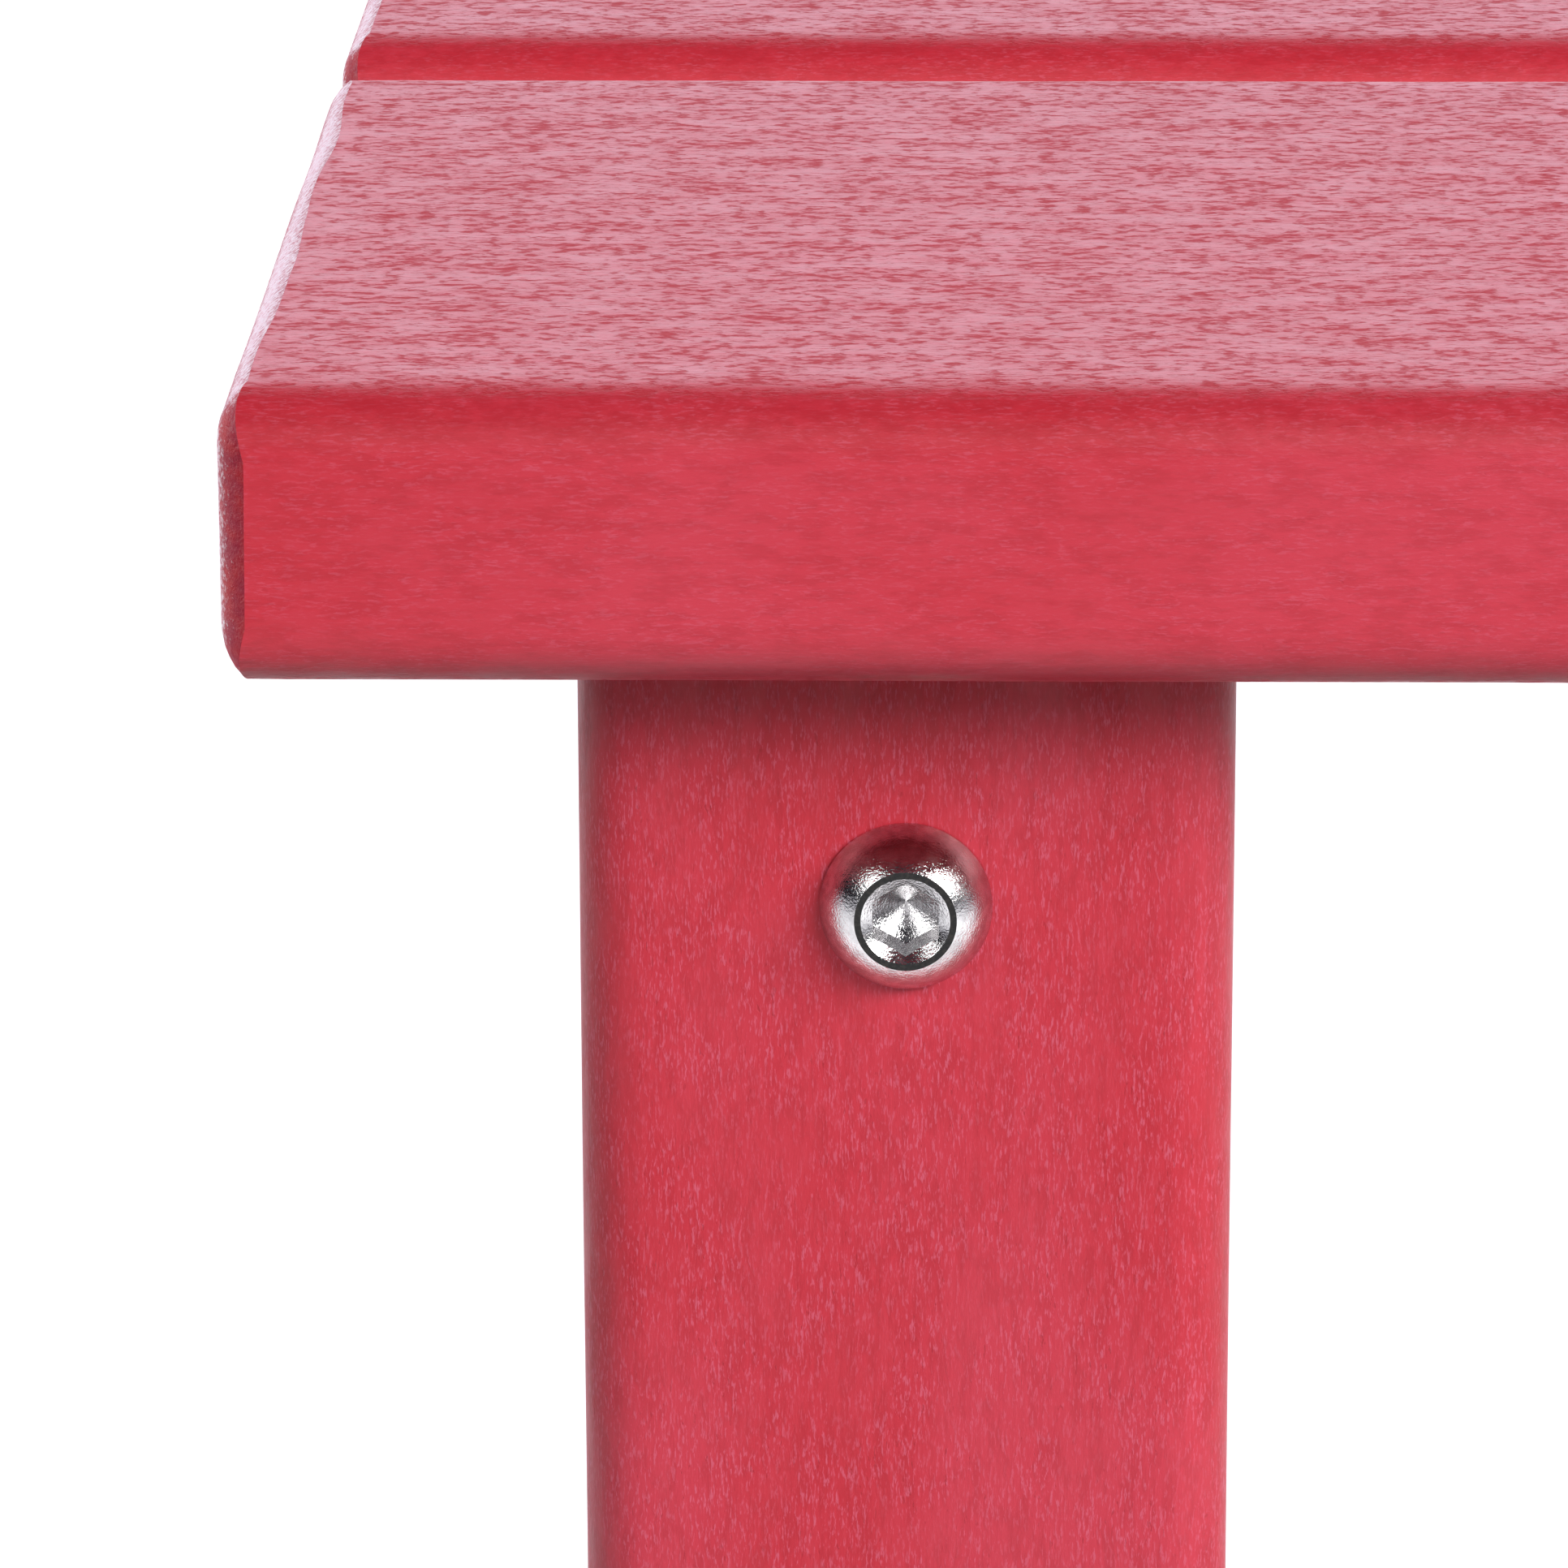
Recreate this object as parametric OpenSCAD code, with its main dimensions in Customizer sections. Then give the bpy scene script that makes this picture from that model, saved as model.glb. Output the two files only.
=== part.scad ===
// Free-standing slatted side table made of moulded poly lumber boards. Two bolted end frames carry the
// slats, and a long stretcher joins the frames low down.
// X runs along the slats, Y from the front to the back, and Z up. The origin is on the floor, under the
// middle of the top.

/* [Top] */
// Length of each slat
slat_len = 480; // [400:5:640]
// Width of each slat
slat_w = 90; // [75:1:120]
// Thickness of each slat
slat_t = 18; // [16:1:24]
// Number of slats
slat_count = 4; // [3:1:6]
// Gap between neighbouring slats
slat_gap = 8; // [3:0.5:14]
// How far the slats reach past the legs at each end
end_overhang = 20; // [8:1:60]
// How far the outer slats reach past the faces of the legs
face_overhang = 15; // [6:1:40]

/* [Legs] */
// Height of the table top above the floor
table_h = 450; // [360:5:560]
// Width of each leg, along the slats
leg_w = 40; // [30:1:60]
// Thickness of each leg, from front to back
leg_t = 18; // [15:1:30]

/* [Rails] */
// Height of each rail and of the stretcher
rail_h = 35; // [29:1:50]
// Thickness of each rail and of the stretcher
rail_t = 18; // [18:1:28]
// Height of the lower rails' underside above the floor
lower_rail_z = 110; // [40:5:200]
// Width of the batten under the middle of the slats
batten_w = 40; // [24:1:60]
// Thickness of the batten
batten_t = 18; // [14:1:30]
// How far each end of the batten lies inside the edge of the top
batten_inset = 12; // [5:1:40]

/* [Edges] */
// Radius on the long edges of every board
edge_r = 4; // [2:0.5:5]
// Radius of the cutter run round the ends of the slats and the feet of the legs
end_r = 4; // [3:0.5:6]
// How far along the board that cutter starts, which leaves a crease there
end_cut = 1.8; // [1:0.1:2.5]

/* [Frame screws] */
// Thread diameter of the button head screws
screw_d = 6; // [5:1:6]
// Diameter of the button head
head_d = 10.5; // [9.5:0.5:12]
// Height of the button head
head_h = 3.3; // [2.8:0.1:4]
// Height of the straight rim under the head's dome
head_rim = 0.3; // [0.1:0.1:0.6]
// Diameter of the flat on top of the head
head_flat_d = 6.2; // [5.8:0.1:7]
// Size of the hex socket across its flats
socket_af = 4; // [3:0.5:4]
// Depth of the hex socket
socket_depth = 3.0; // [1.5:0.1:3.1]
// Diameter of the countersink at the mouth of the socket
socket_mouth_d = 5.4; // [4.8:0.1:5.6]
// Diameter of the hole that the screw passes through
screw_bore_d = 6.6; // [6.3:0.1:7.5]

/* [Barrel nuts and dowels] */
// Diameter of each barrel nut
nut_d = 10; // [9:0.5:12]
// Length of each barrel nut
nut_len = 14; // [10:0.5:15]
// Distance from a board's end to the middle of its barrel nut
nut_inset = 20; // [16:1:30]
// Diameter of each locating dowel
dowel_d = 6; // [4:0.5:6]
// Depth of a dowel in the board that the screw head bears on
dowel_seat = 10; // [6:0.5:12]
// Depth of a dowel in the end of the other board
dowel_reach = 14; // [8:0.5:20]

/* [Slat screws] */
// Thread diameter of the slat screws
slat_screw_d = 4.5; // [3.5:0.5:5]
// Diameter of their pan heads
pan_d = 9; // [7.5:0.5:10]
// Height of their pan heads
pan_h = 2.8; // [2:0.1:3.5]
// Depth of the counterbore under each rail
rail_cbore = 7; // [4:0.5:12]
// Depth of the counterbore under the batten
batten_cbore = 5; // [4:0.5:7]
// Depth that each screw bites into its slat
slat_bite = 12; // [8:0.5:13]
// Distance between the two screws across a slat
slat_screw_pitch = 45; // [24:1:60]

/* [Hidden] */
$fn = 64;
board_colour = [0.80, 0.24, 0.30];
steel_colour = [0.75, 0.75, 0.77];
dowel_colour = [0.85, 0.84, 0.80];

// Running room beside a thread, nut or dowel, and spare depth past the end of a blind hole
fit_gap = 0.1;
blind_gap = 1;
// Room round a pan head in its counterbore, and the least wall between two holes
cbore_gap = 0.5;
hole_wall = 3;
// How far a cutting body runs past the face that it opens
past = 1;
// How far a frame screw's tip stands out of its barrel nut
tip_past = 2;
// Width and depth of the driver slot in a barrel nut's end
slot_w = 1.4;
slot_depth = 1.6;
// Depth of the 45 degree countersink cut at a hex socket's mouth, where it is narrower than the socket
mouth_depth = 1;
// Depth of the drill point at a hex socket's bottom
drill_point = 0.8;
// Size across flats and depth of the drive recess in a pan head
pan_drive_af = 3;
pan_drive_depth = 1.6;

top_depth = slat_count * slat_w + (slat_count - 1) * slat_gap;
leg_h = table_h - slat_t;
leg_x = slat_len / 2 - end_overhang - leg_w / 2;
leg_face_y = top_depth / 2 - face_overhang;
rail_len = 2 * (leg_face_y - leg_t);
stretcher_len = 2 * leg_x - rail_t;
batten_len = top_depth - 2 * batten_inset;
top_rail_mid_z = leg_h - rail_h / 2;
lower_rail_mid_z = lower_rail_z + rail_h / 2;

// Height of the routed arc on a board's end face, from a circle that touches that face
end_reach = sqrt(2 * end_r * end_cut - end_cut * end_cut);
// The head's dome is part of a sphere through the top of the rim and the edge of the flat
dome_drop = (head_d * head_d - head_flat_d * head_flat_d) / (8 * (head_h - head_rim))
    - (head_h + head_rim) / 2;
dome_r = norm([head_d / 2, head_rim + dome_drop]);
// The dowel lies midway between the nut's hole and the underside of the rail
dowel_drop = (rail_h / 2 + nut_d / 2 + fit_gap) / 2;
screw_past_joint = nut_inset + nut_d / 2 + tip_past;
cbore_r = pan_d / 2 + cbore_gap;
// Screws into the slats keep clear of the frame screw in a rail and of the batten's ends
rail_screw_limit = rail_len / 2 - screw_past_joint - blind_gap - hole_wall - slat_screw_d / 2;
batten_screw_limit = batten_len / 2 - cbore_r - hole_wall;

SIDES = [-1, 1];
SIDE_NAMES = ["left", "right"];
FACE_NAMES = ["front", "back"];

function slat_y(i) = (i - (slat_count + 1) / 2) * (slat_w + slat_gap);
function within(value, limit) = sign(value) * min(abs(value), limit);

// The legs stand under the outer slats, so those take one screw at each rail and the others take two
rail_screw_ys = concat(
    [for (side = SIDES) within(side * (abs(slat_y(1)) - slat_screw_pitch / 2), rail_screw_limit)],
    [for (i = [2:slat_count - 1]) for (side = SIDES) slat_y(i) + side * slat_screw_pitch / 2]
);
batten_screw_ys = [
    for (i = [1:slat_count]) for (side = SIDES)
        within(slat_y(i) + side * slat_screw_pitch / 2, batten_screw_limit)
];

// ---- Boards ----

module round_rectangle(width, height, radius) {
    square([width - 2 * radius, height], center = true);
    square([width, height - 2 * radius], center = true);
    for (x = SIDES) for (y = SIDES)
        translate([x * (width / 2 - radius), y * (height / 2 - radius)]) circle(radius);
}

// Outline of a board seen square on, with the routed arc at each corner of its ends
module routed_outline(length, width) {
    square([length - 2 * end_cut, width], center = true);
    square([length, width - 2 * end_reach], center = true);
    intersection() {
        square([length, width], center = true);
        for (x = SIDES) for (y = SIDES)
            translate([x * (length / 2 - end_r), y * (width / 2 - end_reach)]) circle(end_r);
    }
}

// Board along X with its width along Y, cut square at both ends
module cut_board(length, width, thickness) {
    rotate([90, 0, 90])
        linear_extrude(length, center = true) round_rectangle(width, thickness, edge_r);
}

// The same board with both ends routed
module routed_board(length, width, thickness) {
    intersection() {
        cut_board(length, width, thickness);
        linear_extrude(thickness, center = true) routed_outline(length, width);
        rotate([90, 0, 0]) linear_extrude(width, center = true) routed_outline(length, thickness);
    }
}

// ---- Fasteners ----

// Button head screw with its bearing face at Z = 0, its head above and its thread below
module button_screw(length) {
    color(steel_colour) difference() {
        union() {
            rotate_extrude() intersection() {
                translate([0, -dome_drop]) circle(dome_r);
                square([head_d / 2, head_h]);
            }
            translate([0, 0, -length]) cylinder(d = screw_d, h = length + head_rim);
        }
        translate([0, 0, head_h - socket_depth])
            rotate([0, 0, 30]) cylinder(d = socket_af / cos(30), h = socket_depth + past, $fn = 6);
        translate([0, 0, head_h - mouth_depth])
            cylinder(d1 = socket_mouth_d - 2 * mouth_depth, d2 = socket_mouth_d, h = mouth_depth);
        translate([0, 0, head_h - socket_depth - drill_point])
            cylinder(d1 = 0, d2 = socket_af - 2 * fit_gap, h = drill_point);
    }
}

// Barrel nut along X, with the thread for a frame screw across it
module barrel_nut() {
    color(steel_colour) difference() {
        rotate([0, 90, 0]) cylinder(d = nut_d, h = nut_len, center = true);
        cylinder(d = screw_d + 2 * fit_gap, h = nut_d + 2 * past, center = true);
        translate([nut_len / 2 - slot_depth, -nut_d / 2 - past, -slot_w / 2])
            cube([slot_depth + past, nut_d + 2 * past, slot_w]);
    }
}

module dowel() {
    color(dowel_colour) cylinder(d = dowel_d, h = dowel_seat + dowel_reach);
}

// Pan head screw driven upwards, with the underside of its head at Z = 0
module pan_screw(length) {
    color(steel_colour) difference() {
        union() {
            translate([0, 0, -pan_h]) cylinder(d = pan_d, h = pan_h);
            cylinder(d = slat_screw_d, h = length - slat_screw_d);
            translate([0, 0, length - slat_screw_d]) cylinder(d1 = slat_screw_d, d2 = 0, h = slat_screw_d);
        }
        translate([0, 0, -pan_h - past])
            cylinder(d = pan_drive_af / cos(30), h = pan_drive_depth + past, $fn = 6);
    }
}

// ---- Joints ----
// A joint's own frame has its origin where the screw head bears, Z out of the board under the head, and
// Y up the table. Its nut goes in from +X.

module joint_screw(thickness) button_screw(thickness + screw_past_joint);

module joint_nut(thickness) translate([0, 0, -thickness - nut_inset]) barrel_nut();

module joint_dowel(thickness) translate([0, -dowel_drop, -thickness - dowel_reach]) dowel();

module joint_bores(thickness) {
    bore_depth = thickness + screw_past_joint + blind_gap;
    translate([0, 0, -bore_depth]) cylinder(d = screw_bore_d, h = bore_depth + past);
    translate([-nut_len / 2 - fit_gap, 0, -thickness - nut_inset]) rotate([0, 90, 0])
        cylinder(d = nut_d + 2 * fit_gap, h = nut_len / 2 + fit_gap + rail_t / 2 + past);
    translate([0, -dowel_drop, -thickness - dowel_reach - blind_gap])
        cylinder(d = dowel_d + 2 * fit_gap, h = dowel_reach + dowel_seat + 2 * blind_gap);
}

// The joint between a leg and a rail. Its nut goes in from the middle of the table.
module at_leg_joint(side, face, z) {
    translate([side * leg_x, face * leg_face_y, z])
        mirror([side > 0 ? 1 : 0, 0, 0]) mirror([0, face > 0 ? 1 : 0, 0]) rotate([90, 0, 0]) children();
}

// The joint between a lower rail and the stretcher. Its nut goes in from the back.
module at_stretcher_joint(side) {
    translate([side * (leg_x + rail_t / 2), 0, lower_rail_mid_z])
        mirror([side < 0 ? 1 : 0, 0, 0]) rotate([90, 0, 90]) children();
}

module at_rail_joints(z) {
    for (side = SIDES) for (face = SIDES) at_leg_joint(side, face, z) children();
}

module at_stretcher_joints() {
    for (side = SIDES) at_stretcher_joint(side) children();
}

// Places its children under each slat screw of a board whose middle is at X = x
module at_slat_screws(x, ys, head_z) {
    for (y = ys) translate([x, y, head_z]) children();
}

// Counterbore and clearance hole for a slat screw, through a board whose top is under the slats
module slat_screw_bore(height, cbore) {
    translate([0, 0, -cbore - past]) cylinder(r = cbore_r, h = cbore + past);
    cylinder(d = slat_screw_d + 2 * fit_gap, h = height - cbore + past);
}

// Height at which a slat screw's head bears in a board of this height
function slat_screw_z(height, cbore) = leg_h - height + cbore;

// ---- Sub-parts ----

module slat(i) {
    pilot_depth = slat_bite + blind_gap;
    pilot_d = slat_screw_d + 2 * fit_gap;
    color(board_colour) difference() {
        translate([0, slat_y(i), leg_h + slat_t / 2]) routed_board(slat_len, slat_w, slat_t);
        for (x = [-leg_x, leg_x]) at_slat_screws(x, rail_screw_ys, leg_h - past)
            cylinder(d = pilot_d, h = pilot_depth + past);
        at_slat_screws(0, batten_screw_ys, leg_h - past) cylinder(d = pilot_d, h = pilot_depth + past);
    }
}

// The foot is routed, and the top is cut square to seat against the slat
module leg(side, face) {
    color(board_colour) difference() {
        translate([side * leg_x, face * (leg_face_y - leg_t / 2), (leg_h + end_r) / 2])
            rotate([90, 90, 0]) routed_board(leg_h + end_r, leg_w, leg_t);
        translate([side * leg_x, 0, leg_h + end_r])
            cube([2 * leg_w, 2 * top_depth, 2 * end_r], center = true);
        for (z = [top_rail_mid_z, lower_rail_mid_z]) at_leg_joint(side, face, z) joint_bores(leg_t);
    }
}

module rail(side, z) {
    translate([side * leg_x, 0, z])
        rotate([0, 0, 90]) rotate([90, 0, 0]) cut_board(rail_len, rail_h, rail_t);
}

module top_rail(side) {
    color(board_colour) difference() {
        rail(side, top_rail_mid_z);
        for (face = SIDES) at_leg_joint(side, face, top_rail_mid_z) joint_bores(leg_t);
        at_slat_screws(side * leg_x, rail_screw_ys, slat_screw_z(rail_h, rail_cbore))
            slat_screw_bore(rail_h, rail_cbore);
    }
}

module lower_rail(side) {
    color(board_colour) difference() {
        rail(side, lower_rail_mid_z);
        for (face = SIDES) at_leg_joint(side, face, lower_rail_mid_z) joint_bores(leg_t);
        at_stretcher_joint(side) joint_bores(rail_t);
    }
}

module stretcher() {
    color(board_colour) difference() {
        translate([0, 0, lower_rail_mid_z]) rotate([90, 0, 0]) cut_board(stretcher_len, rail_h, rail_t);
        at_stretcher_joints() joint_bores(rail_t);
    }
}

module batten() {
    color(board_colour) difference() {
        translate([0, 0, leg_h - batten_t / 2]) rotate([0, 0, 90]) cut_board(batten_len, batten_w, batten_t);
        at_slat_screws(0, batten_screw_ys, slat_screw_z(batten_t, batten_cbore))
            slat_screw_bore(batten_t, batten_cbore);
    }
}

module rail_slat_screws() {
    for (side = SIDES) at_slat_screws(side * leg_x, rail_screw_ys, slat_screw_z(rail_h, rail_cbore))
        pan_screw(rail_h - rail_cbore + slat_bite);
}

module batten_slat_screws() {
    at_slat_screws(0, batten_screw_ys, slat_screw_z(batten_t, batten_cbore))
        pan_screw(batten_t - batten_cbore + slat_bite);
}

// ---- Assembly ----

for (i = [1:slat_count]) slat(i);
for (f = [0, 1]) for (s = [0, 1])
    leg(SIDES[s], SIDES[f]);
for (s = [0, 1]) {
    top_rail(SIDES[s]);
    lower_rail(SIDES[s]);
}
stretcher();
batten();
at_rail_joints(top_rail_mid_z) joint_screw(leg_t);  // top_rail_screws
at_rail_joints(lower_rail_mid_z) joint_screw(leg_t);  // lower_rail_screws
at_rail_joints(top_rail_mid_z) joint_nut(leg_t);  // top_rail_nuts
at_rail_joints(lower_rail_mid_z) joint_nut(leg_t);  // lower_rail_nuts
at_rail_joints(top_rail_mid_z) joint_dowel(leg_t);  // top_rail_dowels
at_rail_joints(lower_rail_mid_z) joint_dowel(leg_t);  // lower_rail_dowels
at_stretcher_joints() joint_screw(rail_t);  // stretcher_screws
at_stretcher_joints() joint_nut(rail_t);  // stretcher_nuts
at_stretcher_joints() joint_dowel(rail_t);  // stretcher_dowels
rail_slat_screws();
batten_slat_screws();
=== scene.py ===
import math

import bmesh
import bpy
from mathutils import Matrix, Vector, noise


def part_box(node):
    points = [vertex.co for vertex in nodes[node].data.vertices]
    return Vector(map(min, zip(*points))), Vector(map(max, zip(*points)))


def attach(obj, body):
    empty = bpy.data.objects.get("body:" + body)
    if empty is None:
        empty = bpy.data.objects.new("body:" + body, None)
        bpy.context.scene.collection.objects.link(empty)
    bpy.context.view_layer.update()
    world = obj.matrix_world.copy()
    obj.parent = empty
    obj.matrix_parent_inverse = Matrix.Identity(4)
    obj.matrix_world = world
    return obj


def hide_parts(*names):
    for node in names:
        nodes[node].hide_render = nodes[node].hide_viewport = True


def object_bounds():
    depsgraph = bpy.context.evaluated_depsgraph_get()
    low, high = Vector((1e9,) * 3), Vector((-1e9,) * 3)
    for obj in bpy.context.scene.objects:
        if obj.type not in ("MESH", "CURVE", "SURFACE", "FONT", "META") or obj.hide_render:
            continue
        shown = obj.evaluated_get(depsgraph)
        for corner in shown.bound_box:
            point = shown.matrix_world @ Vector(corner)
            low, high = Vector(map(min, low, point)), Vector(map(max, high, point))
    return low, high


# Looks for a slatted side table of red poly lumber: finely modelled boards and screws, procedural
# materials, a pale floor, studio lights and the camera. All lengths are in metres.

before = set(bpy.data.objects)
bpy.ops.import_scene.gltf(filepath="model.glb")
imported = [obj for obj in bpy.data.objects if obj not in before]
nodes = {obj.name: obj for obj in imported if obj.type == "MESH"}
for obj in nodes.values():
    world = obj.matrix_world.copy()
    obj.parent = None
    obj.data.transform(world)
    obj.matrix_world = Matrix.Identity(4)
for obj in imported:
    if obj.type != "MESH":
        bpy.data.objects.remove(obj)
cad_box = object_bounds()
MM = 0.001

SLATS = [n for n in sorted(nodes) if n.startswith("slat_")]
LEGS = [n for n in sorted(nodes) if n.startswith("leg_")]
RAILS = [n for n in sorted(nodes) if "_rail_" in n and n.endswith(("_left", "_right"))]
FRAME_SCREWS = ["top_rail_screws", "lower_rail_screws", "stretcher_screws"]
NUTS = ["top_rail_nuts", "lower_rail_nuts", "stretcher_nuts"]
DOWELS = ["top_rail_dowels", "lower_rail_dowels", "stretcher_dowels"]
SLAT_SCREWS = ["rail_slat_screws", "batten_slat_screws"]

FROST_AND_SHEEN_LAYER = "frost_and_sheen"    # how pale a vertex of a cut end is drawn, from 0 to 1: partly frosted fur, partly painted sheen
SHARP = 24               # degrees between faces past which an edge stays sharp
SCREW_SHARP = 17         # the same on a frame screw


# ---------------------------------------------------------------- material nodes

class Graph:
    """One material's nodes, built with short calls. Each call returns an output socket."""

    def __init__(self, name):
        self.material = bpy.data.materials.new(name)
        self.material.use_nodes = True
        self.tree = self.material.node_tree
        self.tree.nodes.clear()

    def set(self, socket, value):
        if isinstance(value, bpy.types.NodeSocket):
            self.tree.links.new(value, socket)
        else:
            socket.default_value = value

    def add(self, kind, inputs=None, **settings):
        made = self.tree.nodes.new("ShaderNode" + kind)
        for key, value in settings.items():
            setattr(made, key, value)
        for key, value in (inputs or {}).items():
            self.set(made.inputs[key], value)
        return made

    def math(self, operation, a, b=0.0):
        return self.add("Math", {0: a, 1: b}, operation=operation).outputs[0]

    def scaled(self, vector, scale):
        return self.add("VectorMath", {0: vector, 1: scale}, operation="MULTIPLY").outputs[0]

    def noise(self, vector, scale, detail=2.0, roughness=0.5, distortion=0.0):
        inputs = {"Vector": vector, "Scale": scale, "Detail": detail, "Roughness": roughness,
                  "Distortion": distortion}
        return self.add("TexNoise", inputs).outputs["Fac"]

    def ramp(self, value, low, high, to_low=0.0, to_high=1.0):
        inputs = {0: value, 1: low, 2: high, 3: to_low, 4: to_high}
        return self.add("MapRange", inputs, interpolation_type="SMOOTHSTEP").outputs[0]

    def mix(self, factor, a, b):
        made = self.add("Mix", data_type="RGBA")
        self.set(made.inputs[0], factor)
        self.set(made.inputs[6], a)
        self.set(made.inputs[7], b)
        return made.outputs[2]

    def bump(self, height, distance, strength=1.0, normal=None):
        inputs = {"Height": height, "Distance": distance, "Strength": strength}
        if normal is not None:
            inputs["Normal"] = normal
        return self.add("Bump", inputs).outputs[0]

    def finish(self, **inputs):
        shader = self.add("BsdfPrincipled", {k.replace("_", " "): v for k, v in inputs.items()})
        self.add("OutputMaterial", {"Surface": shader.outputs[0]})
        return self.material


def along_grain(graph, axis):
    """Object coordinates with the grain turned to X."""
    parts = graph.add("SeparateXYZ", {0: graph.add("TexCoord").outputs["Object"]})
    order = {"X": (0, 1, 2), "Y": (1, 0, 2), "Z": (2, 0, 1)}[axis]
    turned = graph.add("CombineXYZ", {k: parts.outputs[i] for k, i in enumerate(order)})
    return turned.outputs[0]


def upward(graph):
    """How far the surface faces up: 1 on top, 0 on the sides and -1 underneath."""
    return graph.add("SeparateXYZ", {0: graph.add("TexCoord").outputs["Normal"]}).outputs[2]


# Colours of the lumber, in linear light
RED = (0.665, 0.029, 0.052, 1)
DEEP_RED = (0.47, 0.014, 0.027, 1)
ROSE = (0.72, 0.048, 0.082, 1)
PALE_FIBRE = (0.86, 0.22, 0.34, 1)
MAROON = (0.36, 0.012, 0.040, 1)
# near-white of the cut ends: frosted fur and painted sheen
FROST_AND_SHEEN = (0.95, 0.80, 0.87, 1)
PINK_FUR = (0.88, 0.52, 0.63, 1)


def poly_lumber(name, axis, streaks):
    """Moulded poly lumber with its grain along an axis. streaks is how much fine pale fibre shows.

    The broad faces that point up and down are planed, which leaves open pits in them. Whatever points up
    is drawn darker as painted shade, for the weaker light on top, and the planed broad faces a little
    more."""
    g = Graph(name)
    grain = along_grain(g, axis)
    clouds = g.noise(g.scaled(grain, (0.5, 1, 1)), 60, 3)
    mottle = g.noise(g.scaled(grain, (0.45, 1, 1)), 380, 3, 0.6)
    flow = g.noise(g.scaled(grain, (0.30, 1, 1)), 1100, 3, 0.6)
    pits = g.noise(g.scaled(grain, (0.58, 1, 1)), 1500, 3, 0.6)
    scratches = g.noise(g.scaled(grain, (0.26, 1, 1)), 3400, 3, 0.6)
    fibres = g.noise(g.scaled(grain, (0.22, 1, 1)), 6800, 2, 0.65, 0.3)
    grooves = g.noise(g.scaled(grain, (0.035, 1, 1)), 2600, 2, 0.6)
    nicks = g.noise(g.scaled(grain, (0.35, 1, 1)), 3400, 2, 0.6)
    facing = upward(g)
    planed = g.ramp(g.math("ABSOLUTE", facing), 0.80, 0.97)
    # Painted shade: faces that point up, the upper round-overs too, and a little the planed broad faces up
    # and down, are darkened towards DEEP_RED; the pits make it uneven
    painted_shade = g.math("ADD", g.ramp(facing, 0.05, 0.60, 0, 0.74), g.math("MULTIPLY", planed, 0.18))
    painted_shade = g.math("MULTIPLY", painted_shade, g.ramp(pits, 0.36, 0.62, 0.68, 1.05))

    open_pits = g.ramp(g.math("ADD", pits, g.math("MULTIPLY", mottle, 0.40)), 0.68, 0.88)
    cuts = g.ramp(scratches, 0.54, 0.72)
    marks = g.math("MULTIPLY", g.math("MAXIMUM", open_pits, g.math("MULTIPLY", cuts, 0.42)), planed)
    clusters = g.ramp(mottle, 0.30, 0.62, 0.25)
    hairs = g.math("MULTIPLY", g.ramp(fibres, 0.50, 0.68), g.math("MULTIPLY", clusters, streaks))
    holes = g.math("MULTIPLY", g.ramp(nicks, 0.36, 0.27), g.math("MULTIPLY", clusters, streaks))

    tone = g.mix(g.ramp(clouds, 0.32, 0.68), RED, ROSE)
    tone = g.mix(g.ramp(flow, 0.56, 0.36, 0, 0.30), tone, DEEP_RED)
    tone = g.mix(g.ramp(flow, 0.52, 0.70, 0, 0.30), tone, ROSE)
    tone = g.mix(painted_shade, tone, DEEP_RED)
    tone = g.mix(hairs, tone, PALE_FIBRE)
    # Pits and scratches on the planed faces are drawn darker towards DEEP_RED, painted shade for the sheen
    # they lose; nicks are drawn darker too
    tone = g.mix(g.math("MAXIMUM", holes, g.math("MULTIPLY", marks, 0.36)), tone, DEEP_RED)

    rough = g.ramp(mottle, 0.3, 0.7, 0.40, 0.50)
    rough = g.math("ADD", rough, g.math("MULTIPLY", marks, 0.35))
    normal = g.bump(fibres, 0.05 * MM, 0.5)
    normal = g.bump(grooves, 0.03 * MM, 0.5, normal)
    normal = g.bump(flow, 0.06 * MM, 0.5, normal)
    unmarked = g.math("SUBTRACT", 1.0, g.math("MAXIMUM", marks, holes))
    normal = g.bump(unmarked, 0.05 * MM, 0.8, normal)
    return g.finish(Base_Color=tone, Roughness=rough, Normal=normal, IOR=1.5)


def cut_end():
    """Where a cutter has gone across the grain: rough and furred. It is drawn paler towards the end and on
    top, partly real frosted fur and partly painted sheen, and dark maroon near the crease as painted
    shade.
    """
    g = Graph("poly_lumber_cut")
    spot = g.add("TexCoord").outputs["Object"]
    fur = g.noise(spot, 3000, 3, 0.7)
    patches = g.noise(spot, 700, 3)
    frost_and_sheen = g.add("Attribute", attribute_name=FROST_AND_SHEEN_LAYER).outputs["Fac"]
    # Painted sheen: cut faces that point up are drawn paler
    frost_and_sheen = g.math("ADD", frost_and_sheen, g.ramp(upward(g), 0.35, 0.75, 0, 0.7))
    ragged = g.math("ADD", frost_and_sheen, g.math("MULTIPLY", g.math("SUBTRACT", fur, 0.5), 1.6))
    tone = g.mix(g.ramp(patches, 0.3, 0.7), MAROON, DEEP_RED)
    pale = g.mix(g.ramp(fur, 0.36, 0.56), PINK_FUR, FROST_AND_SHEEN)
    # Towards the end the cut is drawn pale, partly real frosted fur and partly painted sheen; the maroon
    # left near the crease is painted shade
    tone = g.mix(g.ramp(ragged, 0.42, 1.0), tone, pale)
    normal = g.bump(fur, 0.12 * MM, 0.9)
    return g.finish(Base_Color=tone, Roughness=g.ramp(fur, 0.3, 0.7, 0.45, 0.70), Normal=normal,
                    Specular_IOR_Level=0.2)


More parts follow.
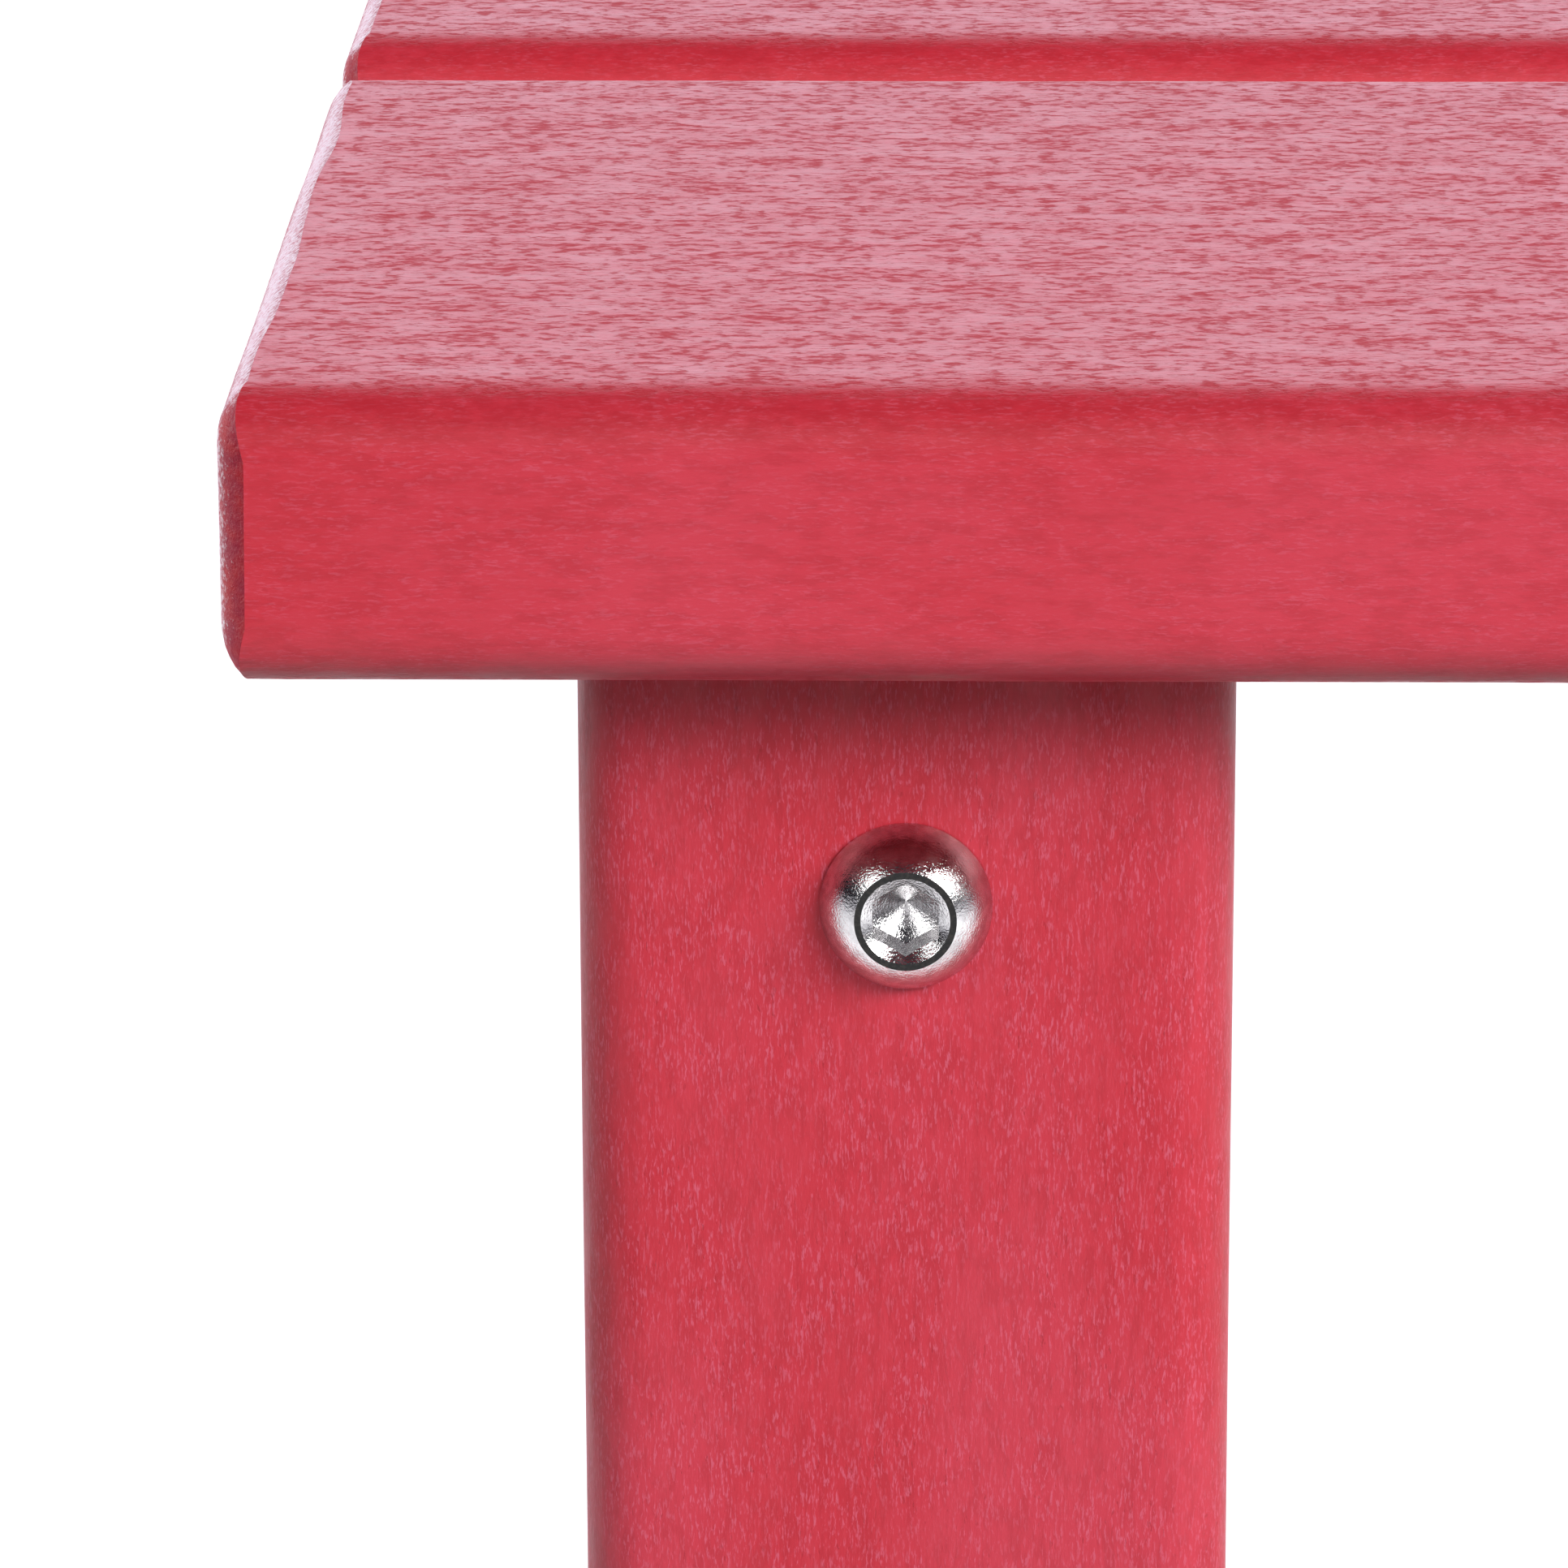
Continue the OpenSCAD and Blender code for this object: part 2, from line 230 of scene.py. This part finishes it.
def polished_steel():
    """Tumbled stainless steel: bright, with a fine sandy grain."""
    g = Graph("stainless_steel")
    spot = g.add("TexCoord").outputs["Object"]
    sand = g.noise(spot, 7000, 2, 0.6)
    wide = g.noise(spot, 1500, 3)
    tone = g.mix(g.ramp(wide, 0.35, 0.65), (0.54, 0.53, 0.535, 1), (0.70, 0.69, 0.695, 1))
    rough = g.ramp(wide, 0.3, 0.75, 0.08, 0.18)
    normal = g.bump(sand, 0.036 * MM, 0.8)
    return g.finish(Base_Color=tone, Metallic=1.0, Roughness=rough, Normal=normal)


def painted_reflection_ring():
    """The narrow turned flat round a socket, coloured near-black as a painted dark reflection, with a
    faint speckle.
    """
    g = Graph("socket_ring")
    speckle = g.noise(g.add("TexCoord").outputs["Object"], 4000, 2)
    tone = g.mix(g.ramp(speckle, 0.4, 0.7), (0.008, 0.008, 0.008, 1), (0.035, 0.032, 0.03, 1))
    return g.finish(Base_Color=tone, Metallic=0.0, Roughness=g.ramp(speckle, 0.3, 0.7, 0.45, 0.7), IOR=1.4)


def plain_steel():
    g = Graph("turned_steel")
    spot = g.add("TexCoord").outputs["Object"]
    wide = g.noise(spot, 700, 3)
    tone = g.mix(g.ramp(wide, 0.35, 0.65), (0.52, 0.51, 0.50, 1), (0.68, 0.67, 0.66, 1))
    normal = g.bump(g.noise(spot, 3500, 2), 0.02 * MM, 0.7)
    rough = g.ramp(wide, 0.3, 0.7, 0.26, 0.4)
    return g.finish(Base_Color=tone, Metallic=1.0, Roughness=rough, Normal=normal)


def nylon():
    g = Graph("nylon")
    spot = g.add("TexCoord").outputs["Object"]
    cloud = g.noise(spot, 300, 2)
    tone = g.mix(cloud, (0.72, 0.70, 0.64, 1), (0.82, 0.81, 0.76, 1))
    normal = g.bump(g.noise(spot, 2500, 2), 0.02 * MM, 0.5)
    return g.finish(Base_Color=tone, Roughness=g.ramp(cloud, 0.3, 0.7, 0.4, 0.55), Normal=normal, IOR=1.53)


LUMBER = {"X": poly_lumber("poly_lumber_slat", "X", streaks=0.20),
          "Y": poly_lumber("poly_lumber_rail", "Y", streaks=0.45),
          "Z": poly_lumber("poly_lumber_leg", "Z", streaks=0.45)}
CUT = cut_end()
STEEL = polished_steel()
REFLECTION_RING = painted_reflection_ring()
TURNED = plain_steel()
NYLON = nylon()


# ---------------------------------------------------------------- boards

EDGE_R = 4 * MM              # radius along the long edges
CUTTER_R = 4 * MM            # radius of the cutter that runs round an end
CUTTER_DEPTH = 1.8 * MM      # how far along the board it reaches
CUTTER_STEPS = 9             # rings in its arc
CREASE_RIPPLE = 0.55 * MM    # how far its edge wanders along the board
CORNER_EASE = 0.5 * MM       # how much less it takes where it turns a corner
BROAD_BITE = 0.15 * MM       # how much more it takes from the broad faces
LEAD = 2.2 * MM              # from the crease to where the rings turn coarse
RING_STEP = 5 * MM           # between coarse rings
FLAT_STEP_W, FLAT_STEP_T = 1.3 * MM, 1.6 * MM    # between a coarse ring's points
CORNER_POINTS = 6            # points in each of its corners
FINE = 8                     # fine points for each coarse one, near a routed end
MOULD_WAVES = (45, 90, 90)   # noise cells a metre in the moulded faces: along, across and through
RIPPLE_WAVES = 80            # noise cells a metre in the crease
FUR_WAVES = 2300             # noise cells a metre in the fur
END_FACE_RINGS = ((1.5 * MM, 0.80), (3.5 * MM, 0.62))    # (distance inside the arc, paleness of frosted fur and painted sheen)
SLAT_WOBBLE, LEG_WOBBLE = 0.10 * MM, 0.08 * MM   # how deep the waves and the fur go
HOLE_R = 3.2 * MM            # clearance hole for an M6 screw


def outline(half_w, half_t, radius, flat_w, flat_t, corner):
    """(point, outward normal) round a rounded rectangle, from +width round to +thickness and on.

    Each corner has `corner` points and each flat its own number, so that all rings match."""
    points = []
    quadrants = ((1, 1), (-1, 1), (-1, -1), (1, -1))
    for k, signs in enumerate(quadrants):
        centre = Vector((signs[0] * (half_w - radius), signs[1] * (half_t - radius)))
        after = quadrants[(k + 1) % 4]
        next_centre = Vector((after[0] * (half_w - radius), after[1] * (half_t - radius)))
        for j in range(corner):
            a = math.radians(90 * (k + j / corner))
            normal = Vector((math.cos(a), math.sin(a)))
            points.append((centre + radius * normal, normal))
        a = math.radians(90 * (k + 1))
        normal = Vector((math.cos(a), math.sin(a)))
        count = flat_w if k % 2 == 0 else flat_t
        for j in range(count):
            points.append((centre.lerp(next_centre, j / count) + radius * normal, normal))
    return points


def to_axis(axis, along, across, up):
    """A point from a board's own length, width and thickness to the row frame."""
    return {"X": (along, across, up), "Y": (across, along, up), "Z": (across, up, along)}[axis]


class Board:
    """A board built as rings along its length, with routed or square ends."""

    def __init__(self, name, axis, wobble):
        low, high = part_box(name)
        index = {"X": (0, 1, 2), "Y": (1, 0, 2), "Z": (2, 0, 1)}[axis]
        self.name, self.axis, self.wobble = name, axis, wobble
        self.centre = [(low[i] + high[i]) / 2 for i in index]
        self.half = [(high[i] - low[i]) / 2 for i in index]
        flat_w = max(6, round(self.half[1] / FLAT_STEP_W))
        flat_t = max(4, round(self.half[2] / FLAT_STEP_T))
        self.segments = (flat_w, flat_t, CORNER_POINTS)
        self.seed = Vector((hash_name(name), 0, 0))
        self.mesh = bmesh.new()
        self.frost_and_sheen = self.mesh.verts.layers.float.new(FROST_AND_SHEEN_LAYER)

    def ring(self, along, inset, fine, fur, frost_and_sheen=0.0, edge=0.0):
        """Vertices of one ring, moved in by inset, and in a little more by noise.

        edge is 1 or -1 where the cutter's uneven edge shows in full, and 0 where it doesn't."""
        scale = FINE if fine else 1
        flat_w, flat_t, corner = (s * scale for s in self.segments)
        radius = max(EDGE_R - inset, 0.5 * MM)
        half_w, half_t = self.half[1] - inset, self.half[2] - inset
        middle, across, up = self.centre
        made = []
        for p, normal in outline(half_w, half_t, radius, flat_w, flat_t, corner):
            spot = Vector((along, p.x, p.y)) + self.seed
            wave = spot * Vector(MOULD_WAVES)
            depth = self.wobble * (0.5 + 0.5 * noise.noise(wave))
            if fur:
                depth += fur * (0.5 + 0.5 * noise.noise(spot * FUR_WAVES))
            q = p - normal * depth
            shift = CREASE_RIPPLE * noise.noise(Vector((self.seed.x * 3, p.x, p.y)) * RIPPLE_WAVES)
            shift += CORNER_EASE * 2 * abs(normal.x * normal.y) - BROAD_BITE * normal.y ** 2
            place = to_axis(self.axis, middle + along + edge * shift, across + q.x, up + q.y)
            made.append(self.mesh.verts.new(place))
            made[-1][self.frost_and_sheen] = frost_and_sheen
        return made

    def bridge(self, a, b, material=0):
        count = len(a)
        for i in range(count):
            j = (i + 1) % count
            self.mesh.faces.new((a[i], a[j], b[j], b[i])).material_index = material

    def step_up(self, coarse, fine):
        """Faces from a coarse ring to a fine one with FINE points for each of its own."""
        count = len(coarse)
        for i in range(count):
            edge = [fine[(i * FINE + k) % len(fine)] for k in range(FINE + 1)]
            self.mesh.faces.new([coarse[(i + 1) % count], coarse[i], *edge])

    def routed_end(self, sign, coarse, fur):
        """The cutter's arc from the crease on the sides to the end face."""
        top_angle = math.acos(1 - CUTTER_DEPTH / CUTTER_R)
        reach = CUTTER_R * math.sin(top_angle)
        end = sign * self.half[0]
        last = self.ring(end - sign * CUTTER_DEPTH, 0, True, fur * 0.4, edge=sign)
        self.step_up(coarse, last)
        for k in range(CUTTER_STEPS - 1, -1, -1):
            part = k / CUTTER_STEPS
            a = top_angle * part
            along = end - sign * CUTTER_R * (1 - math.cos(a))
            inset = reach - CUTTER_R * math.sin(a)
            ring = self.ring(along, inset, True, fur, frost_and_sheen=1 - part, edge=sign * part ** 2)
            self.bridge(last, ring, 1)
            last = ring
        for extra, frost_and_sheen in END_FACE_RINGS:
            ring = self.ring(end, reach + extra, True, 0, frost_and_sheen)
            self.bridge(last, ring, 1)
            last = ring
        self.mesh.faces.new(last).material_index = 1

    def square_end(self, coarse):
        self.mesh.faces.new(coarse).material_index = 1

    def build(self, routed, fur=0.0):
        """routed says whether the low and the high end are routed."""
        low = -self.half[0] + (CUTTER_DEPTH + LEAD if routed[0] else 0)
        high = self.half[0] - (CUTTER_DEPTH + LEAD if routed[1] else 0)
        count = round((high - low) / RING_STEP)
        rings = [self.ring(low + (high - low) * k / count, 0, False, 0) for k in range(count + 1)]
        for a, b in zip(rings, rings[1:]):
            self.bridge(a, b)
        for sign, ring, is_routed in ((-1, rings[0], routed[0]), (1, rings[-1], routed[1])):
            if is_routed:
                self.routed_end(sign, ring, fur)
            else:
                self.square_end(ring)
        bmesh.ops.recalc_face_normals(self.mesh, faces=self.mesh.faces)
        return finish_piece(self.mesh, self.name + "_board", [LUMBER[self.axis], CUT], [self.name],
                            SHARP)


def hash_name(name):
    """A steady number of metres for a name, so that boards differ and every run is the same."""
    return sum((k + 1) * ord(c) for k, c in enumerate(name)) * 0.013


def finish_piece(mesh, name, materials, replaced, sharp_degrees):
    data = bpy.data.meshes.new(name)
    mesh.to_mesh(data)
    mesh.free()
    for polygon in data.polygons:
        polygon.use_smooth = True
    data.set_sharp_from_angle(angle=math.radians(sharp_degrees))
    for material in materials:
        data.materials.append(material)
    piece = bpy.data.objects.new(name, data)
    bpy.context.scene.collection.objects.link(piece)
    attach(piece, "root")
    if replaced:
        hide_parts(*replaced)
    return piece


def islands(node):
    """(low corner, high corner) of each separate solid in a CAD node."""
    mesh = bmesh.new()
    mesh.from_mesh(nodes[node].data)
    bmesh.ops.remove_doubles(mesh, verts=mesh.verts, dist=0.001 * MM)
    boxes, seen = [], set()
    for start in mesh.verts:
        if start.index in seen:
            continue
        stack, found = [start], []
        seen.add(start.index)
        while stack:
            vertex = stack.pop()
            found.append(vertex.co.copy())
            for line in vertex.link_edges:
                other = line.other_vert(vertex)
                if other.index not in seen:
                    seen.add(other.index)
                    stack.append(other)
        boxes.append((Vector(map(min, *found)), Vector(map(max, *found))))
    mesh.free()
    return boxes


def leg_holes(leg):
    """A mesh of cylinders along Y, one for each frame screw that goes through a leg."""
    low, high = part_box(leg)
    cutter = bmesh.new()
    for screw_low, screw_high in (box for node in FRAME_SCREWS for box in islands(node)):
        spot = (screw_low + screw_high) / 2
        beside = low.x < spot.x < high.x and low.z < spot.z < high.z
        if beside and screw_low.y < high.y and screw_high.y > low.y:
            middle = Vector((spot.x, (low.y + high.y) / 2, spot.z))
            place = Matrix.Translation(middle) @ Matrix.Rotation(math.radians(90), 4, "X")
            bmesh.ops.create_cone(cutter, cap_ends=True, segments=48, radius1=HOLE_R, radius2=HOLE_R,
                                  depth=1.5 * (high.y - low.y), matrix=place)
    for face in cutter.faces:
        face.material_index = 1
    data = bpy.data.meshes.new("drill")
    cutter.to_mesh(data)
    cutter.free()
    return data


def drill(leg, piece):
    """Cuts a leg's screw holes out of its piece."""
    tool = bpy.data.objects.new("drill", leg_holes(leg))
    bpy.context.scene.collection.objects.link(tool)
    cut = piece.modifiers.new("screw_holes", "BOOLEAN")
    cut.operation, cut.solver, cut.object = "DIFFERENCE", "EXACT", tool
    bpy.context.view_layer.update()
    evaluated = piece.evaluated_get(bpy.context.evaluated_depsgraph_get())
    drilled = bpy.data.meshes.new_from_object(evaluated)
    piece.modifiers.clear()
    piece.data = drilled
    bpy.data.objects.remove(tool)


slat_boards = [Board(slat, "X", SLAT_WOBBLE).build((True, True), SLAT_WOBBLE) for slat in SLATS]
for leg in LEGS:
    drill(leg, Board(leg, "Z", LEG_WOBBLE).build((True, False), LEG_WOBBLE))


# ---------------------------------------------------------------- frame screws

HEAD_R, HEAD_H, RIM_H, FLAT_R = 5.25 * MM, 3.3 * MM, 0.3 * MM, 3.1 * MM
RIM_BREAK = 0.08 * MM       # the small bevel under the rim
DOME_STEPS = 14
SOCKET_AF, SOCKET_DEPTH, MOUTH_R = 4 * MM, 3.0 * MM, 2.7 * MM
COUNTERSINK = 0.8           # slope of the bevel at the socket's mouth
DRILL_SLOPE = 0.55          # slope of the drilled point in its floor
POINT_R = 0.02 * MM         # the flat at the very bottom of that point
THREAD_R, THREAD_PITCH, THREAD_DEPTH = 2.97 * MM, 1.0 * MM, 0.6 * MM
THREAD_START = 0.5 * MM     # plain shank under the head
TIP_LENGTH, TIP_BEVEL = 0.8 * MM, 0.7 * MM
TIP_ROOT = 0.45 * MM        # thread deeper than this keeps its depth at the tip
RINGS_PER_TURN = 6
ROUND, THREAD_ROUND = 96, 24    # points round the head and round the thread


def hex_radius(angle):
    """Distance from the axis to a hex with its corners up and down, at this angle from +X."""
    off = (angle + math.radians(30)) % math.radians(60) - math.radians(30)
    return SOCKET_AF / 2 / math.cos(off)


def head_rings():
    """(radius, height) for each ring of a screw, from the socket's point outwards and down the head."""
    drop = (HEAD_R ** 2 - FLAT_R ** 2) / (2 * (HEAD_H - RIM_H)) - (HEAD_H + RIM_H) / 2
    dome = math.hypot(HEAD_R, RIM_H + drop)
    floor = HEAD_H - SOCKET_DEPTH
    rings = [("round", POINT_R, floor - DRILL_SLOPE * SOCKET_AF / 2), ("hex_floor", None, floor),
             ("hex_top", None, HEAD_H), ("round", MOUTH_R, HEAD_H), ("round", FLAT_R, HEAD_H)]
    start = math.asin(FLAT_R / dome)
    stop = math.asin(HEAD_R / dome)
    for k in range(1, DOME_STEPS + 1):
        a = start + (stop - start) * k / DOME_STEPS
        rings.append(("round", dome * math.sin(a), dome * math.cos(a) - drop))
    rings += [("round", HEAD_R, RIM_BREAK), ("round", HEAD_R - RIM_BREAK, 0.0), ("round", THREAD_R, 0.0)]
    return rings


def add_head(mesh, place):
    """The head and its socket. Returns the ring where the thread starts."""
    rings = []
    ring_face = None
    for kind, radius, height in head_rings():
        ring = []
        for i in range(ROUND):
            angle = math.tau * i / ROUND
            r, z = radius, height
            if kind.startswith("hex"):
                r = hex_radius(angle)
            if kind == "hex_floor":
                z += DRILL_SLOPE * (r - SOCKET_AF / 2)
            elif kind == "hex_top":
                z -= COUNTERSINK * (MOUTH_R - r)
            ring.append(mesh.verts.new(place @ Vector((r * math.cos(angle), r * math.sin(angle), z))))
        rings.append(ring)
        if kind == "round" and radius == FLAT_R:
            ring_face = len(rings) - 2
    for k, (a, b) in enumerate(zip(rings, rings[1:])):
        for i in range(ROUND):
            j = (i + 1) % ROUND
            mesh.faces.new((a[i], a[j], b[j], b[i])).material_index = 1 if k == ring_face else 0
    mesh.faces.new(list(reversed(rings[0])))
    return rings[-1]


def thread_radius(z, turn, length):
    """The thread's radius at height z and at this share of a turn round the screw."""
    phase = (z / THREAD_PITCH + turn) % 1.0
    depth = THREAD_DEPTH * abs(2 * phase - 1) if z < -THREAD_START else 0
    past_tip = 1 - min(1.0, max(0.0, (length + z) / TIP_LENGTH))
    return THREAD_R - depth - (past_tip * TIP_BEVEL if depth <= TIP_ROOT else 0)


def add_screw(mesh, place, length):
    """One button head screw. place turns its own frame, head along +Z, into the row frame."""
    last = add_head(mesh, place)
    # The thread is a grid of rings whose radius falls and rises with the helix
    count = int(length / THREAD_PITCH * RINGS_PER_TURN)
    skip = ROUND // THREAD_ROUND
    for k in range(1, count + 1):
        z = -length * k / count
        ring = []
        for i in range(THREAD_ROUND):
            angle = math.tau * i / THREAD_ROUND
            r = thread_radius(z, i / THREAD_ROUND, length)
            ring.append(mesh.verts.new(place @ Vector((r * math.cos(angle), r * math.sin(angle), z))))
        for i in range(THREAD_ROUND):
            j = (i + 1) % THREAD_ROUND
            if len(last) == ROUND:
                upper = [last[(i * skip + m) % ROUND] for m in range(skip, -1, -1)]
                mesh.faces.new([ring[i], ring[j], *upper])
            else:
                mesh.faces.new((last[i], last[j], ring[j], ring[i]))
        last = ring
    mesh.faces.new(last)


def screw_place(low, high, centre):
    """Where a screw's head bears and which way it faces, from its box and the table's centre."""
    size = high - low
    axis = max(range(3), key=lambda i: size[i])
    outward = 1 if (low[axis] + high[axis]) / 2 > centre[axis] else -1
    origin = (low + high) / 2
    origin[axis] = (high if outward > 0 else low)[axis] - outward * HEAD_H
    out = Vector((0, 0, 0))
    out[axis] = outward
    up = Vector((0, 0, 1))
    side = up.cross(out)
    turn = Matrix((side, up, out)).transposed().to_4x4()
    return Matrix.Translation(origin) @ turn, size[axis] - HEAD_H


def build_screws(node):
    mesh = bmesh.new()
    centre = (cad_box[0] + cad_box[1]) / 2
    for low, high in islands(node):
        add_screw(mesh, *screw_place(low, high, centre))
    bmesh.ops.recalc_face_normals(mesh, faces=mesh.faces)
    return finish_piece(mesh, node + "_button_head", [STEEL, REFLECTION_RING], [node], SCREW_SHARP)


for group in FRAME_SCREWS:
    build_screws(group)


# ---------------------------------------------------------------- CAD nodes that stay

def dress(node, material):
    """Gives a CAD node that stays its material and smooth faces between its edges."""
    data = nodes[node].data
    data.materials.clear()
    data.materials.append(material)
    for polygon in data.polygons:
        polygon.use_smooth = True
    data.set_sharp_from_angle(angle=math.radians(SHARP))


for rail in RAILS + ["batten"]:
    dress(rail, LUMBER["Y"])
dress("stretcher", LUMBER["X"])
for group in NUTS + SLAT_SCREWS:
    dress(group, TURNED)
for group in DOWELS:
    dress(group, NYLON)


# ---------------------------------------------------------------- stage

def plane(name, centre, size, normal, material):
    """A flat stage piece facing along normal."""
    mesh = bmesh.new()
    turn = Vector(normal).to_track_quat("Z", "Y").to_matrix().to_4x4()
    place = Matrix.Translation(centre) @ turn
    corners = [(-1, -1), (1, -1), (1, 1), (-1, 1)]
    spots = [place @ Vector((x * size[0] / 2, y * size[1] / 2, 0)) for x, y in corners]
    mesh.faces.new([mesh.verts.new(spot) for spot in spots])
    data = bpy.data.meshes.new(name)
    mesh.to_mesh(data)
    mesh.free()
    data.materials.append(material)
    made = bpy.data.objects.new(name, data)
    bpy.context.scene.collection.objects.link(made)
    return made


def floor_material():
    g = Graph("floor")
    cloud = g.noise(g.add("TexCoord").outputs["Object"], 3, 2)
    tone = g.mix(cloud, (0.86, 0.86, 0.865, 1), (0.88, 0.88, 0.885, 1))
    return g.finish(Base_Color=tone, Roughness=0.9)


def softbox(name, azimuth, elevation, distance, size, power, target):
    """An area light seen from the target at this azimuth (0 is the front, 90 the right) and elevation."""
    a, e = math.radians(azimuth), math.radians(elevation)
    back = Vector((math.sin(a) * math.cos(e), -math.cos(a) * math.cos(e), math.sin(e)))
    data = bpy.data.lights.new(name, "AREA")
    data.shape = "RECTANGLE"
    data.size, data.size_y = size
    data.energy = power
    made = bpy.data.objects.new(name, data)
    made.location = Vector(target) + back * distance
    made.rotation_mode = "QUATERNION"
    made.rotation_quaternion = (-back).to_track_quat("-Z", "Y")
    bpy.context.scene.collection.objects.link(made)
    return made


def light_only(light, receivers):
    """Keeps a light to these objects."""
    group = bpy.data.collections.new(light.name + "_receivers")
    for receiver in receivers:
        group.objects.link(receiver)
    light.light_linking.receiver_collection = group


def world_light(overhead, back, front, below):
    """A studio's surroundings: bright low down at the back, dim overhead, in front and below."""
    world = bpy.data.worlds.new("studio")
    bpy.context.scene.world = world
    world.use_nodes = True
    tree = world.node_tree
    tree.nodes.clear()
    new, link = tree.nodes.new, tree.links.new
    direction = new("ShaderNodeTexCoord").outputs["Generated"]
    parts = new("ShaderNodeSeparateXYZ")
    link(direction, parts.inputs[0])

    def ranged(value, low, high, a, b):
        made = new("ShaderNodeMapRange")
        made.interpolation_type = "SMOOTHSTEP"
        link(value, made.inputs[0])
        for socket, number in zip(list(made.inputs)[1:5], (low, high, a, b)):
            if isinstance(number, bpy.types.NodeSocket):
                link(number, socket)
            else:
                socket.default_value = number
        return made.outputs[0]

    low_down = ranged(parts.outputs[1], 0.30, 0.80, front, back)
    upper = ranged(parts.outputs[2], 0.45, 0.85, low_down, overhead)
    strength = ranged(parts.outputs[2], -0.06, 0.0, below, upper)
    background = new("ShaderNodeBackground")
    background.inputs[0].default_value = (1.0, 0.97, 1.15, 1)
    link(strength, background.inputs[1])
    link(background.outputs[0], new("ShaderNodeOutputWorld").inputs[0])


leg_low, leg_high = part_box("leg_front_left")
subject = Vector((leg_low.x, leg_low.y, leg_high.z))    # the corner that the photo shows
FLOOR_SIZE = 60

floor = plane("floor", (0, 0, 0), (FLOOR_SIZE, FLOOR_SIZE), (0, 0, 1), floor_material())
floor.visible_diffuse = False    # its bounce is part of the world light, which is dimmer in front
world_light(overhead=0.06, back=2.2, front=0.03, below=0.07)
softbox("key", azimuth=46, elevation=27, distance=1.7, size=(1.3, 0.56), power=29.3, target=subject)
softbox("fill", azimuth=-42, elevation=27, distance=1.7, size=(1.0, 0.55), power=7.5, target=subject)
softbox("rim", azimuth=84, elevation=20, distance=1.6, size=(0.6, 0.8), power=2.5, target=subject)
edge_light = softbox("edge", azimuth=-108, elevation=9, distance=1.7, size=(0.6, 0.5), power=17,
                     target=subject)
floor_light = softbox("floor_light", azimuth=0, elevation=90, distance=5, size=(10, 10), power=490,
                      target=(0, 0.6, 0))
light_only(edge_light, slat_boards)
light_only(floor_light, [floor])


# ---------------------------------------------------------------- camera

# Set out from the top left corner of the front left leg, as a long lens close to the table
CAMERA_OFFSET = Vector((24.55, -478.07, 136.72)) * MM
CAMERA_LENS = 190.4
CAMERA_YAW, CAMERA_TILT, CAMERA_ROLL = -0.0249, 0.2974, 0.0040


def camera_turn(yaw, tilt, roll):
    """Rotation for a camera looking along +Y, turned right by yaw, down by tilt and then rolled."""
    ahead = Vector((math.sin(yaw) * math.cos(tilt), math.cos(yaw) * math.cos(tilt), -math.sin(tilt)))
    right = Vector((math.cos(yaw), -math.sin(yaw), 0))
    down = ahead.cross(right)
    side = right * math.cos(roll) + down * math.sin(roll)
    lower = down * math.cos(roll) - right * math.sin(roll)
    return Matrix((side, -lower, -ahead)).transposed()


camera = bpy.data.objects.new("camera", bpy.data.cameras.new("camera"))
bpy.context.scene.collection.objects.link(camera)
camera.data.lens = CAMERA_LENS
camera.data.sensor_width = 36
camera.data.clip_start = 0.01
camera.location = subject + CAMERA_OFFSET
camera.rotation_mode = "QUATERNION"
camera.rotation_quaternion = camera_turn(CAMERA_YAW, CAMERA_TILT, CAMERA_ROLL).to_quaternion()
bpy.context.scene.camera = camera
bpy.context.scene.view_settings.view_transform = "Standard"
